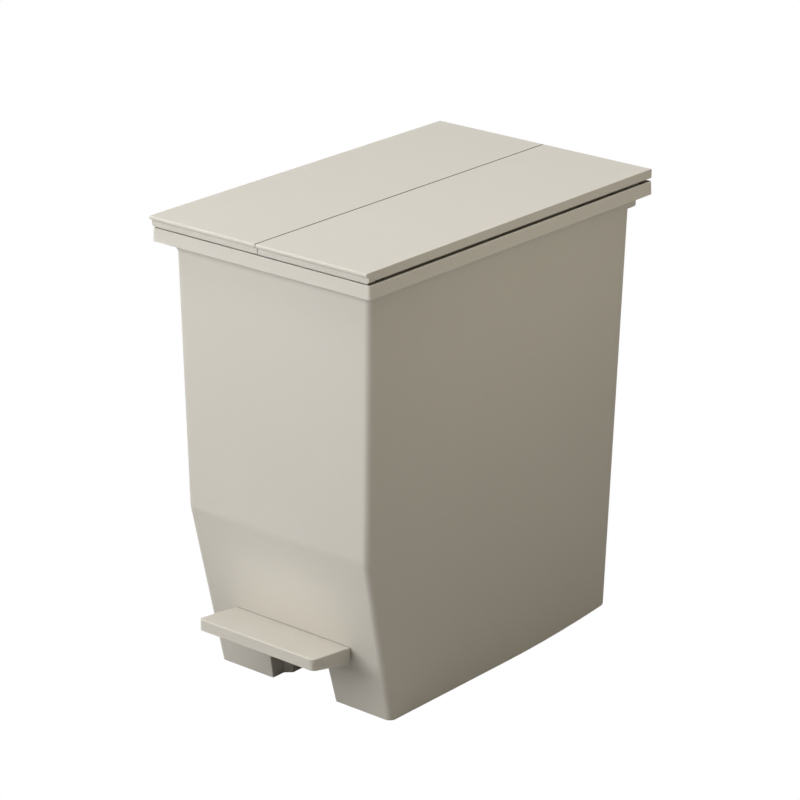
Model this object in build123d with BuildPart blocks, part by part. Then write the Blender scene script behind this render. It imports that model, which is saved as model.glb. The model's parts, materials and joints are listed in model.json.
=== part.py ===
from build123d import *
from math import atan, cos, degrees, radians, sin, tan
import os

os.makedirs("parts", exist_ok=True)

# Pedal bin with a split lid, a 20 litre class kitchen bin.
# Frame: millimetres, +Z up, the front faces -Y, the origin is on the floor
# under the middle of the bin. Left and right are as seen from the front.

# Outer sizes of the lid, which the sizes further down hang from
lid_half_width = 120.0
lid_front = -187.5
lid_rear = 195.0
lid_top = 420.3

# Lid leaves
seam_gap = 0.5
plate = 3.0
lip_overhang = 2.9
lip_radius = 1.1
lip_step = 2.0
lip_slope = 1.6
leaf_edge_radius = 0.8
skirt = 2.0
skirt_edge_radius = 1.5
side_skirt_depth = 8.8
fascia_depth = 10.3
fascia_edge_radius = 1.8
fascia_corner = 4.2
nose_length = 9.0
leaf_rib = 1.8
leaf_rib_depth = 3.4
leaf_rib_ys = (-128.0, -76.0, -24.0, 28.0, 80.0, 130.0)

# Lid frame, the rim under the leaves
lid_gap = 0.8
rim_side_step = 0.2
rim_front_step = 1.1
rim_rear_step = 0.5
rim_height = 11.8
rim_flare = 0.7
rim_corner = 3.0
rim_rear_corner = 2.0
rim_edge_radius = 0.5
rim_inset = 1.3
rim_wall = 2.6
rim_rear_wall = 1.5
web = 2.5
opening_side = 7.1
opening_front_side = 5.6
opening_rear_side = 31.7
opening_corner = 8.0
rail = 2.0
rail_rise = 7.6
rail_drop = 5.4

# Flange at the top of the body and the flare that carries it
flange_cover = 5.0
flange_side_step = 3.2
flange_front_step = 5.1
flange_rear_step = 1.9
flange_corner = 10.0
flare_height = 7.8
flare_bite = 0.5
cove_radius = 8.0

# Body walls: outer planes on the floor and at the top of the taper
taper_drop = 16.4
taper_side_step = 8.9
taper_front_step = 8.8
taper_rear_step = 9.9
side_taper = 9.1
front_lean = 2.0
front_setback = 34.1
rear_taper = 11.05
bend_height = 156.5
bend_radius = 25.0
wall = 2.2
front_corner = 6.0
rear_corner = 10.0
floor_top = 60.0
floor_fillet = 3.0
rocker_start = 24.6
rocker_rise = 7.8

# Hump at the rear under the flange, which gives the lifting fork its room
hump_side_step = 9.4
hump_height = 17.6
hump_length = 26.6
hump_corner = 6.0
hump_edge_radius = 1.5

# Foot opening and the walls of its tunnel
notch_half_width = 36.5
notch_top_half_width = 33.0
notch_height = 56.0
notch_corner = 4.0
notch_edge_radius = 0.9
jamb_depth = 14.0
jamb_step = 5.5
tunnel_half_width = 30.4
tunnel_end_gap = 19.0
rib = 2.2

# Ribs under the floor
floor_rib = 1.8
floor_rib_depth = 8.0
floor_rib_x = 56.0
floor_rib_half_length = 132.0
floor_rib_ys = (-78.0, 62.0)

# Hinge of a leaf, its axis runs along Y
hinge_inset = 5.5
hinge_drop = 4.5
hinge_rod_radius = 1.25
knuckle_radius = 2.6
knuckle_half_length = 5.0
knuckle_gap = 0.5
leaf_knuckle_length = 8.0
knuckle_relief = 0.4
hinge_front_inset = 39.5
hinge_rear_inset = 55.0
arm_rise = 1.1
post_inset = 10.5
post_width = 4.0
leaf_angle = 70.0
running_gap = 0.06

# Lifting cam of a leaf: the involute of a circle round the hinge axis
cam_base_radius = 27.0
cam_last_length = 0.2
cam_half_thickness = 2.5
cam_flank = 4.0
cam_flank_rise = 5.0
cam_root_inset = 34.5
cam_back_inset = 8.6
cam_back_drop = 8.8
cam_heel_inset = 5.0
cam_gap = 0.3
cam_steps = 12
slot_inner_inset = 45.5
slot_outer_inset = 7.5
slot_half_width = 4.6
slot_corner = 1.5

# Push rod and lifting fork
lift_inset = 21.2
rod_radius = 3.0
rod_foot_radius = 5.5
rod_foot_height = 4.0
rod_foot_chamfer = 0.8
rod_bite = 14.0
fork_half_thickness = 4.0
beam_drop = 30.3
beam_height = 10.0
finger_width = 12.0
fork_fillet = 3.0
fork_hub_radius = 6.5
fork_hub_drop = 8.0
bush_radius = 5.0
bush_bottom = 57.0
bush_top = 71.0
bush_flange_radius = 6.5
bush_flange = 1.6

# Pedal lever and its axle
pedal_angle = 12.0
axle_z = 28.0
axle_radius = 3.0
axle_chamfer = 0.6
lever_hub_radius = 8.0
lever_hub_half_width = 25.0
lever_half_width = 15.0
lever_arm_half_width = 7.0
lever_nose_radius = 5.0
lever_nose_step = 3.0
lever_web = 2.5
lever_neck_top = 53.2
lever_neck_bottom = 41.0
side_gap = 0.5

# Foot plate of the pedal
pedal_reach = 8.0
pedal_half_width = 66.0
pedal_rear_top = 64.6
pedal_tilt = 6.3
pedal_height = 10.5
pedal_rear_height = 15.0
pedal_wall = 2.2
pedal_corner = 4.5
pedal_edge_radius = 0.8
pedal_gap = 0.5
neck_gap = 0.3

# Bosses, keepers and screws of the axle
boss_width = 10.0
boss_half_length = 13.0
boss_corner = 1.5
keeper_height = 8.0
screw_radius = 1.5
screw_head_radius = 3.0
screw_head_height = 2.0
screw_head_chamfer = 0.6
screw_offset = 8.5
screw_bite = 10.0
screw_slot = 0.8
screw_slot_depth = 1.0

# Rear rollers
roller_radius = 12.0
roller_inset = 19.0
roller_rear_inset = 24.65
roller_half_width = 5.5
roller_chamfer = 0.8
roller_pin_radius = 2.0
roller_rim = 2.5
roller_web = 1.5
cheek = 2.4
cheek_half_length = 7.0

# Cover of the mechanism inside the bin
cover_wall = 2.0
cover_drop = 6.0
cover_split_drop = 14.0
cover_gap = 0.3
channel_half_width = 14.0

# Bag ring and divider
ring_gap = 0.6
ring_wall = 2.5
ring_lip = 1.8
ring_depth = 20.0
ring_bar = 7.0
ring_bar_wall = 2.0
ring_chamfer = 0.5
divider = 2.5
divider_gap = 0.6
divider_bead = 5.0
guide = 2.0
guide_depth = 4.0
guide_drop = 16.0

# Lid bumpers on posts of the frame
bumper_radius = 3.2
bumper_chamfer = 0.9
bumper_stem_radius = 1.5
bumper_stem = 4.0
bumper_post_radius = 4.0
bumper_post_rise = 8.6
bumper_gap = 0.3
bumper_x = 22.0
bumper_front_inset = 9.3
bumper_rear_inset = 15.5

# Lid and lid frame, worked out from the outer sizes
past_all = 500.0
fascia_front = lid_front + lip_overhang
fascia_bottom = lid_top - fascia_depth
side_skirt_bottom = lid_top - side_skirt_depth
plate_bottom = lid_top - plate
leaf_rib_bottom = plate_bottom - leaf_rib_depth
rim_half_width = lid_half_width + rim_side_step
rim_front = fascia_front + rim_front_step
rim_rear = lid_rear + rim_rear_step
rim_top = fascia_bottom - lid_gap
rim_bottom = rim_top - rim_height
flange_top = rim_bottom + flange_cover
web_top = flange_top + web
rail_top = flange_top + rail_rise
rail_bottom = flange_top - rail_drop
ring_top = rail_top + ring_lip

# Body: flange, walls and hump
flange_half_width = rim_half_width - flange_side_step
flange_front = rim_front + flange_front_step
flange_rear = rim_rear - flange_rear_step
flare_bottom = rim_bottom - flare_height
taper_height = flange_top - taper_drop
top_half_width = flange_half_width - taper_side_step
foot_half_width = top_half_width - side_taper
front_top = flange_front + taper_front_step
front_bend = front_top + front_lean
front_foot = front_bend + front_setback
rear_top = flange_rear - taper_rear_step
rear_foot = rear_top - rear_taper
hump_half_width = flange_half_width - hump_side_step
hump_bottom = flange_top - hump_height
hump_front = flange_rear - hump_length
floor_bottom = floor_top - wall
jamb_y = front_foot + jamb_depth
opening_half_width = top_half_width - opening_side
opening_front = front_top + opening_front_side
opening_rear = rear_top - opening_rear_side
divider_y = (opening_front + opening_rear) / 2
guide_top = taper_height - guide_drop
guide_offset = divider / 2 + divider_gap / 2 + guide / 2
ring_half_width = opening_half_width - ring_gap

# Hinges and cams of the leaves, lifting fork and pedal lever
hinge_x = lid_half_width - hinge_inset
hinge_z = lid_top - hinge_drop
hinge_front = lid_front + hinge_front_inset
hinge_rear = lid_rear - hinge_rear_inset
hinge_ys = (hinge_front, (hinge_front + hinge_rear) / 2, hinge_rear)
hinge_rod_front = hinge_front - knuckle_half_length - knuckle_gap - leaf_knuckle_length
hinge_rod_rear = hinge_rear + knuckle_half_length + knuckle_gap + leaf_knuckle_length
arm_top = hinge_z + arm_rise
post_x = hinge_x - post_inset
leaf_turn = radians(leaf_angle)
stroke = cam_base_radius * leaf_turn
cam_first_length = cam_last_length + stroke
pad_x = hinge_x - cam_base_radius
pad_top = hinge_z - cam_first_length - cam_gap
cam_heel_x = hinge_x - cam_heel_inset
slot_inner_x = hinge_x - slot_inner_inset
slot_outer_x = hinge_x - slot_outer_inset
beam_bottom = pad_top - beam_drop
fork_hub_bottom = beam_bottom - fork_hub_drop
cover_split = beam_bottom - cover_split_drop
cover_top = flange_top - cover_drop
lift_y = rear_top - lift_inset
lever_length = stroke / radians(pedal_angle)
axle_y = lift_y - lever_length
tunnel_end = axle_y - tunnel_end_gap
lever_nose_y = axle_y + lever_length * cos(radians(pedal_angle / 2))
lever_nose_z = axle_z - lever_length * sin(radians(pedal_angle / 2))
rod_bottom = lever_nose_z + lever_nose_radius + cam_gap
rod_top = fork_hub_bottom + rod_bite
boss_inner = lever_hub_half_width + side_gap
boss_outer = boss_inner + boss_width
boss_x = (boss_inner + boss_outer) / 2
keeper_bottom = axle_z - keeper_height
roller_x = foot_half_width - roller_inset
roller_y = rear_foot - roller_rear_inset
cheek_inner = roller_half_width + side_gap
bumper_post_top = flange_top + bumper_post_rise
bumper_top = plate_bottom - bumper_gap
bumper_ys = (rim_front + bumper_front_inset, rim_rear - bumper_rear_inset)


def share(low, high, fraction):
    """Value at a fraction of the way from low to high."""
    return low + (high - low) * fraction


def front_at(z):
    """Outer face of the front wall at the height z; it bends back below the bend."""
    if z < bend_height:
        return share(front_foot, front_bend, z / bend_height)
    return share(front_bend, front_top, (z - bend_height) / (taper_height - bend_height))


def rear_at(z):
    """Outer face of the rear wall at the height z."""
    return share(rear_foot, rear_top, z / taper_height)


def half_width_at(z):
    """Outer half width of the body at the height z."""
    return share(foot_half_width, top_half_width, z / taper_height)


def body_form(inset, low, high, foot_radius=0.0):
    """Tapered block of the body between two heights with its walls moved in by inset."""
    levels = [low, bend_height, high] if low < bend_height < high else [low, high]
    side_view = [(front_at(z) + inset, z) for z in levels]
    side_view += [(rear_at(high) - inset, high), (rear_at(low) - inset, low)]
    half_low = half_width_at(low) - inset
    half_high = half_width_at(high) - inset
    with BuildPart() as form:
        with BuildSketch(Plane.YZ):
            with BuildLine():
                Polyline(*side_view, close=True)
            make_face()
        extrude(amount=past_all, both=True)
        with BuildSketch(Plane.XZ):
            with BuildLine():
                Polyline(
                    (-half_low, low), (half_low, low), (half_high, high), (-half_high, high), close=True
                )
            make_face()
        extrude(amount=past_all, both=True, mode=Mode.INTERSECT)
        if len(levels) > 2:
            bend = form.edges().filter_by(Axis.X).filter_by_position(Axis.Z, low + 1, high - 1)
            fillet(bend, radius=bend_radius)
        uprights = form.edges().filter_by(lambda edge: abs(edge.tangent_at(0.5).Z) > 0.9)
        fillet(uprights.filter_by_position(Axis.Y, 0, past_all), radius=rear_corner - inset)
        uprights = form.edges().filter_by(lambda edge: abs(edge.tangent_at(0.5).Z) > 0.9)
        front_uprights = uprights.filter_by_position(Axis.Y, -past_all, 0)
        fillet(front_uprights, radius=max(front_corner - inset, 1.0))
        if foot_radius > 0:
            fillet(form.faces().sort_by(Axis.Z)[0].edges(), radius=foot_radius)
    return form.part


def band(half_width, front, rear, low, high, corner, foot_radius=0.0, draft=0.0):
    """Upright block, centred across the bin, with rounded corners in plan."""
    with BuildPart() as block:
        with BuildSketch(Plane.XY.offset(low)):
            with Locations((0, (front + rear) / 2)):
                RectangleRounded(2 * half_width, rear - front, corner)
        extrude(amount=high - low, taper=draft)
        if foot_radius > 0:
            fillet(block.faces().sort_by(Axis.Z)[0].edges(), radius=foot_radius)
    return block.part


def flare(inset, low, high):
    """Block that widens upwards from the walls to the flange, its faces moved in by inset."""
    with BuildPart() as block:
        foot_inset = inset + flare_bite
        with BuildSketch(Plane.XY.offset(low)) as foot:
            front = front_at(low) + foot_inset
            rear = rear_at(low) - foot_inset
            with Locations((0, (front + rear) / 2)):
                Rectangle(2 * (half_width_at(low) - foot_inset), rear - front)
            fillet(foot.vertices().group_by(Axis.Y)[0], radius=front_corner - inset)
            fillet(foot.vertices().group_by(Axis.Y)[-1], radius=rear_corner - inset)
        with BuildSketch(Plane.XY.offset(high)) as head:
            front = flange_front + inset
            rear = flange_rear - inset
            with Locations((0, (front + rear) / 2)):
                Rectangle(2 * (flange_half_width - inset), rear - front)
            fillet(head.vertices().group_by(Axis.Y)[0], radius=flange_corner - inset)
            fillet(head.vertices().group_by(Axis.Y)[-1], radius=flange_corner - inset)
        loft(ruled=True)
    return block.part


def slab(x_low, x_high, y_low, y_high, z_low, z_high):
    """Rectangular block between two corners."""
    with BuildPart() as block:
        with BuildSketch(Plane.XY.offset(z_low)):
            with Locations(((x_low + x_high) / 2, (y_low + y_high) / 2)):
                Rectangle(x_high - x_low, y_high - y_low)
        extrude(amount=z_high - z_low)
    return block.part


def bar_along_x(radius, x_low, x_high, y, z):
    """Round bar along X."""
    with BuildPart() as block:
        with BuildSketch(Plane.YZ.offset(x_low)):
            with Locations((y, z)):
                Circle(radius)
        extrude(amount=x_high - x_low)
    return block.part


def bar_along_y(radius, y_low, y_high, x, z):
    """Round bar along Y."""
    with BuildPart() as block:
        with BuildSketch(Plane.XZ.offset(-y_high)):
            with Locations((x, z)):
                Circle(radius)
        extrude(amount=y_high - y_low)
    return block.part


def bar_along_z(radius, z_low, z_high, x, y):
    """Round bar along Z."""
    with BuildPart() as block:
        with BuildSketch(Plane.XY.offset(z_low)):
            with Locations((x, y)):
                Circle(radius)
        extrude(amount=z_high - z_low)
    return block.part


def pedal_line(y):
    """Height of the pedal's top plane at y."""
    return pedal_rear_top + (pedal_rear - y) * tan(radians(pedal_tilt))


def on_front_face(edge):
    """Whether an edge lies in the outer face of the lower front wall."""
    return all(abs((edge @ t).Y - front_at((edge @ t).Z)) < 0.02 for t in (0, 0.5, 1))


pedal_front = lid_front - pedal_reach
pedal_rear = front_at(pedal_rear_top) - pedal_gap


# Guide ribs of the divider on both side walls
with BuildPart() as divider_guides:
    for side in (-1, 1):
        guide_middle = divider_y + side * guide_offset
        add(
            slab(
                -top_half_width,
                top_half_width,
                guide_middle - guide / 2,
                guide_middle + guide / 2,
                floor_bottom + wall / 2,
                guide_top,
            )
        )
    add(body_form(wall / 2, floor_bottom, guide_top), mode=Mode.INTERSECT)
    guide_face = half_width_at(floor_top) - wall - guide_depth
    add(
        slab(-guide_face, guide_face, -past_all, past_all, floor_top - wall / 2, past_all),
        mode=Mode.SUBTRACT,
    )

# Body shell: tapered container with a raised floor, flared top, hump, flange and foot opening
with BuildPart() as body_shell:
    add(body_form(0, 0, flange_top))
    add(flare(0, flare_bottom, rim_bottom))
    cove = body_shell.edges().filter_by_position(Axis.Z, flare_bottom, rim_bottom - wall)
    fillet(cove, radius=cove_radius)
    add(band(flange_half_width, flange_front, flange_rear, rim_bottom, flange_top, flange_corner))
    add(
        band(
            hump_half_width, hump_front, flange_rear, hump_bottom, flange_top, hump_corner, hump_edge_radius
        )
    )
    add(body_form(wall, floor_top, flange_top, floor_fillet), mode=Mode.SUBTRACT)
    add(flare(wall, flare_bottom + wall, rim_bottom + wall), mode=Mode.SUBTRACT)
    add(
        band(
            flange_half_width - wall,
            flange_front + wall,
            flange_rear - wall,
            rim_bottom + wall,
            flange_top,
            flange_corner - wall,
        ),
        mode=Mode.SUBTRACT,
    )
    add(
        band(
            hump_half_width - wall,
            hump_front + wall,
            flange_rear - wall,
            hump_bottom + wall,
            flange_top,
            hump_corner - wall,
        ),
        mode=Mode.SUBTRACT,
    )
    add(body_form(wall, 0, floor_bottom), mode=Mode.SUBTRACT)
    # the lower edge rises in one long arc towards the rear rollers
    with BuildSketch(Plane.YZ):
        with BuildLine():
            rise = TangentArc((rocker_start, 0), (rear_foot, rocker_rise), tangent=(1, 0))
            Polyline(rise @ 1, (past_all, rocker_rise), (past_all, 0), rise @ 0)
        make_face()
    extrude(amount=past_all, both=True, mode=Mode.SUBTRACT)
    # foot opening
    with BuildSketch(Plane.XZ.offset(-jamb_y)) as notch:
        with BuildLine():
            Polyline(
                (-notch_half_width, 0),
                (notch_half_width, 0),
                (notch_top_half_width, notch_height),
                (-notch_top_half_width, notch_height),
                close=True,
            )
        make_face()
        fillet(notch.vertices().group_by(Axis.Y)[-1], radius=notch_corner)
    extrude(amount=past_all, mode=Mode.SUBTRACT)
    notch_edges = body_shell.edges().filter_by_position(Axis.X, -notch_half_width, notch_half_width)
    notch_edges = notch_edges.filter_by_position(Axis.Z, 0.1, notch_height)
    fillet(notch_edges.filter_by(on_front_face), radius=notch_edge_radius)
    # tunnel walls: jambs straight back from the front, a step in, then back to the axle
    for side in (-1, 1):
        for z, jamb_x in ((0, notch_half_width), (floor_bottom, notch_top_half_width)):
            jamb_start = front_at(z) + wall - rib / 4
            outer_jamb_y = jamb_y + rib / 2
            outer_step_y = jamb_y + jamb_step + rib / 2
            with BuildSketch(Plane.XY.offset(z)):
                with BuildLine():
                    Polyline(
                        (side * jamb_x, jamb_start),
                        (side * jamb_x, jamb_y),
                        (side * tunnel_half_width, jamb_y + jamb_step),
                        (side * tunnel_half_width, tunnel_end),
                        (side * (tunnel_half_width + rib), tunnel_end),
                        (side * (tunnel_half_width + rib), outer_step_y),
                        (side * (jamb_x + rib), outer_jamb_y),
                        (side * (jamb_x + rib), jamb_start),
                        close=True,
                    )
                make_face()
        loft(ruled=True)
    # bosses over the axle, each with a half round seat and two screw holes
    with BuildSketch(Plane.XY.offset(axle_z)):
        with Locations((boss_x, axle_y), (-boss_x, axle_y)):
            RectangleRounded(boss_width, 2 * boss_half_length, boss_corner)
    extrude(amount=floor_bottom - axle_z)
    add(bar_along_x(axle_radius, -boss_outer, boss_outer, axle_y, axle_z), mode=Mode.SUBTRACT)
    with BuildSketch(Plane.XY.offset(axle_z)):
        for offset in (-screw_offset, screw_offset):
            with Locations((boss_x, axle_y + offset), (-boss_x, axle_y + offset)):
                Circle(screw_radius)
    extrude(amount=screw_bite, mode=Mode.SUBTRACT)
    # cheeks of the rear rollers
    for middle in (-roller_x, roller_x):
        for side in (-1, 1):
            cheek_middle = middle + side * (cheek_inner + cheek / 2)
            with BuildSketch(Plane.YZ.offset(cheek_middle - cheek / 2)):
                with Locations((roller_y, (roller_radius + floor_bottom) / 2)):
                    Rectangle(2 * cheek_half_length, floor_bottom - roller_radius)
                with Locations((roller_y, roller_radius)):
                    Circle(cheek_half_length)
                    Circle(roller_pin_radius, mode=Mode.SUBTRACT)
            extrude(amount=cheek)
    # stiffening ribs under the floor
    cross_rib = half_width_at(0) - wall / 2 - boss_outer
    with BuildSketch(Plane.XY.offset(floor_bottom - floor_rib_depth)):
        for side in (-1, 1):
            with Locations((side * floor_rib_x, 0)):
                Rectangle(floor_rib, 2 * floor_rib_half_length)
            for y in floor_rib_ys:
                with Locations((side * (boss_outer + cross_rib / 2), y)):
                    Rectangle(cross_rib, floor_rib)
    extrude(amount=floor_rib_depth)
    # seat of the rod bush
    add(bar_along_z(bush_radius, bush_bottom, floor_top, 0, lift_y), mode=Mode.SUBTRACT)
    add(divider_guides.part)
body_shell.part.label = "body_shell"

# Lid frame: rim, web, bag rail, rear deck with cam slots, hinge posts and bumper posts
with BuildPart() as lid_frame:
    add(
        band(
            rim_half_width + rim_flare,
            rim_front - rim_flare,
            rim_rear + rim_height,
            rim_bottom,
            rim_top,
            rim_corner,
            draft=degrees(atan(rim_flare / rim_height)),
        )
    )
    # the rear face stands upright
    add(slab(-past_all, past_all, rim_rear, past_all, 0, past_all), mode=Mode.SUBTRACT)
    rear_edges = lid_frame.faces().sort_by(Axis.Y)[-1].edges()
    fillet(rear_edges.filter_by(lambda edge: abs(edge.tangent_at(0.5).Z) > 0.9), radius=rim_rear_corner)
    fillet(lid_frame.faces().sort_by(Axis.Z)[-1].edges(), radius=rim_edge_radius)
    add(
        band(
            rim_half_width + rim_flare - rim_wall,
            rim_front - rim_flare + rim_wall,
            rim_rear - rim_rear_wall,
            rim_bottom,
            flange_top,
            rim_corner - rim_inset,
        ),
        mode=Mode.SUBTRACT,
    )
    add(
        band(
            rim_half_width - rim_inset,
            rim_front + rim_inset,
            rim_rear - rim_inset,
            web_top,
            rim_top,
            rim_corner - rim_inset,
        ),
        mode=Mode.SUBTRACT,
    )
    add(
        band(
            opening_half_width + rail,
            opening_front - rail,
            opening_rear + rail,
            rail_bottom,
            rail_top,
            opening_corner + rail,
        )
    )
    add(
        band(opening_half_width, opening_front, opening_rear, rail_bottom, rail_top, opening_corner),
        mode=Mode.SUBTRACT,
    )
    # slots for the cams and the fingers of the fork
    with BuildSketch(Plane.XY.offset(flange_top)):
        slot_middle = (slot_inner_x + slot_outer_x) / 2
        with Locations((-slot_middle, lift_y), (slot_middle, lift_y)):
            RectangleRounded(slot_outer_x - slot_inner_x, 2 * slot_half_width, slot_corner)
    extrude(amount=web, mode=Mode.SUBTRACT)
    # hinge posts with their arms and knuckles
    for side in (-1, 1):
        for y in hinge_ys:
            with BuildSketch(Plane.XZ.offset(-y - knuckle_half_length)):
                with BuildLine():
                    Polyline(
                        (side * post_x, web_top - web / 2),
                        (side * post_x, arm_top),
                        (side * hinge_x, arm_top),
                        (side * hinge_x, hinge_z - knuckle_radius),
                        (side * (post_x + post_width), hinge_z - knuckle_radius),
                        (side * (post_x + post_width), web_top - web / 2),
                        close=True,
                    )
                make_face()
                with Locations((side * hinge_x, hinge_z)):
                    Circle(knuckle_radius)
                    Circle(hinge_rod_radius + running_gap, mode=Mode.SUBTRACT)
            extrude(amount=2 * knuckle_half_length)
    # posts of the lid bumpers
    with BuildSketch(Plane.XY.offset(web_top)):
        for y in bumper_ys:
            with Locations((-bumper_x, y), (bumper_x, y)):
                Circle(bumper_post_radius)
    extrude(amount=bumper_post_top - web_top)
    with BuildSketch(Plane.XY.offset(bumper_post_top - bumper_stem)):
        for y in bumper_ys:
            with Locations((-bumper_x, y), (bumper_x, y)):
                Circle(bumper_stem_radius)
    extrude(amount=bumper_stem, mode=Mode.SUBTRACT)
lid_frame.part.label = "lid_frame"

# Right leaf: plate with lip, skirts, ribs, hinge knuckles and the lifting cam
with BuildPart() as right_leaf:
    # front skirt and nose, the lower outer corner is rounded so that it clears the rim as it turns
    for start, end, bottom, radius in (
        (fascia_front, fascia_front + nose_length, fascia_bottom, fascia_corner),
        (fascia_front + nose_length, lid_rear, side_skirt_bottom, skirt_edge_radius),
    ):
        with BuildSketch(Plane.XZ.offset(-end)) as front_view:
            with BuildLine():
                Polyline(
                    (seam_gap / 2, bottom),
                    (lid_half_width, bottom),
                    (lid_half_width, plate_bottom),
                    (seam_gap / 2, plate_bottom),
                    close=True,
                )
            make_face()
            fillet(front_view.vertices().group_by(Axis.Y)[0].sort_by(Axis.X)[-1], radius=radius)
        extrude(amount=end - start)
    # plate with a lip over the front, sloping back to the skirt below
    with BuildSketch(Plane.YZ.offset(seam_gap / 2)) as side_view:
        with BuildLine():
            Polyline(
                (lid_front, lid_top),
                (lid_rear, lid_top),
                (lid_rear, plate_bottom - lip_slope),
                (fascia_front, plate_bottom - lip_slope),
                (lid_front + lip_step / 2, plate_bottom),
                (lid_front, plate_bottom),
                close=True,
            )
        make_face()
        fillet(side_view.vertices().group_by(Axis.Y)[-1].sort_by(Axis.X)[0], radius=lip_radius)
        fillet(side_view.vertices().group_by(Axis.Y)[-1].sort_by(Axis.X)[-1], radius=leaf_edge_radius)
        fillet(side_view.vertices().group_by(Axis.X)[0].sort_by(Axis.Y)[0], radius=lip_radius / 2)
    extrude(amount=lid_half_width - seam_gap / 2)
    # bead along the lower edge of the front
    with BuildSketch(Plane.YZ):
        with Locations((fascia_front, fascia_bottom)):
            Rectangle(2 * fascia_edge_radius, 2 * fascia_edge_radius)
        with Locations((fascia_front + fascia_edge_radius, fascia_bottom + fascia_edge_radius)):
            Circle(fascia_edge_radius, mode=Mode.SUBTRACT)
    extrude(amount=lid_half_width, mode=Mode.SUBTRACT)
    # long outer edge rounded along the whole leaf
    with BuildSketch(Plane.XZ.offset(-lid_rear - 1)):
        with Locations((lid_half_width, lid_top)):
            Rectangle(2 * leaf_edge_radius, 2 * leaf_edge_radius)
        with Locations((lid_half_width - leaf_edge_radius, lid_top - leaf_edge_radius)):
            Circle(leaf_edge_radius, mode=Mode.SUBTRACT)
    extrude(amount=lid_rear - lid_front + 2, mode=Mode.SUBTRACT)
    # hollow underside with cross ribs
    inner_side = lid_half_width - skirt
    inner_front = fascia_front + skirt
    inner_rear = lid_rear - skirt
    add(
        slab(0, inner_side, inner_front, inner_rear, fascia_bottom, leaf_rib_bottom),
        mode=Mode.SUBTRACT,
    )
    rib_starts = [inner_front - leaf_rib, *leaf_rib_ys, inner_rear]
    for start, end in zip(rib_starts[:-1], rib_starts[1:]):
        add(
            slab(
                seam_gap / 2 + leaf_rib,
                inner_side,
                start + leaf_rib,
                end,
                leaf_rib_bottom,
                plate_bottom,
            ),
            mode=Mode.SUBTRACT,
        )
    # knuckles either side of each knuckle of the frame, and room for the latter
    for y in hinge_ys:
        for side in (-1, 1):
            middle = y + side * (knuckle_half_length + knuckle_gap + leaf_knuckle_length / 2)
            with BuildSketch(Plane.XZ.offset(-middle - leaf_knuckle_length / 2)):
                with Locations((hinge_x, hinge_z)):
                    Circle(knuckle_radius)
                with Locations((hinge_x, (hinge_z + plate_bottom) / 2 + 0.25)):
                    Rectangle(2 * knuckle_radius, plate_bottom - hinge_z + 0.5)
            extrude(amount=leaf_knuckle_length)
        relief = knuckle_half_length + knuckle_gap
        add(
            bar_along_y(knuckle_radius + knuckle_relief, y - relief, y + relief, hinge_x, hinge_z),
            mode=Mode.SUBTRACT,
        )
    # lifting cam, the flat finger below it stays at cam_gap all the way up
    flank = []
    for step in range(cam_steps + 1):
        turn = leaf_turn * step / cam_steps
        length = cam_first_length - cam_base_radius * turn
        flank.append(
            (
                hinge_x - cam_base_radius * cos(turn) + length * sin(turn),
                hinge_z - cam_base_radius * sin(turn) - length * cos(turn),
            )
        )
    with BuildSketch(Plane.XZ.offset(-lift_y - cam_half_thickness)):
        with BuildLine():
            Spline(*flank)
            Polyline(
                flank[-1],
                (hinge_x - cam_back_inset, hinge_z - cam_back_drop),
                (cam_heel_x, plate_bottom - 1),
                (cam_heel_x, plate_bottom + 0.5),
                (hinge_x - cam_root_inset, plate_bottom + 0.5),
                (pad_x - cam_flank, flank[0][1] + cam_flank_rise),
                flank[0],
            )
        make_face()
    extrude(amount=2 * cam_half_thickness)
    add(
        bar_along_y(hinge_rod_radius, hinge_rod_front, hinge_rod_rear, hinge_x, hinge_z),
        mode=Mode.SUBTRACT,
    )
right_leaf.part.label = "right_leaf"

with BuildPart() as left_leaf:
    mirror(right_leaf.part, about=Plane.YZ)
left_leaf.part.label = "left_leaf"

# Hinge rods, one through all the knuckles of each side
with BuildPart() as right_hinge_rod:
    add(bar_along_y(hinge_rod_radius, hinge_rod_front, hinge_rod_rear, hinge_x, hinge_z))
    chamfer(right_hinge_rod.edges().filter_by(GeomType.CIRCLE), length=0.3)
right_hinge_rod.part.label = "right_hinge_rod"

with BuildPart() as left_hinge_rod:
    mirror(right_hinge_rod.part, about=Plane.YZ)
left_hinge_rod.part.label = "left_hinge_rod"

# Push rod with a flat foot
with BuildPart() as push_rod:
    add(bar_along_z(rod_radius, rod_bottom, rod_top, 0, lift_y))
    add(bar_along_z(rod_foot_radius, rod_bottom, rod_bottom + rod_foot_height, 0, lift_y))
    foot_edges = push_rod.edges().filter_by(GeomType.CIRCLE).filter_by_position(Axis.Z, 0, bush_bottom)
    chamfer(foot_edges.sort_by(SortBy.RADIUS)[-2:], length=rod_foot_chamfer)
push_rod.part.label = "push_rod"

# Guide bush of the rod in the floor
with BuildPart() as rod_bush:
    add(bar_along_z(bush_radius, bush_bottom, bush_top, 0, lift_y))
    add(bar_along_z(bush_flange_radius, floor_top, floor_top + bush_flange, 0, lift_y))
    add(
        bar_along_z(rod_radius + running_gap, bush_bottom, bush_top, 0, lift_y),
        mode=Mode.SUBTRACT,
    )
rod_bush.part.label = "rod_bush"

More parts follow.
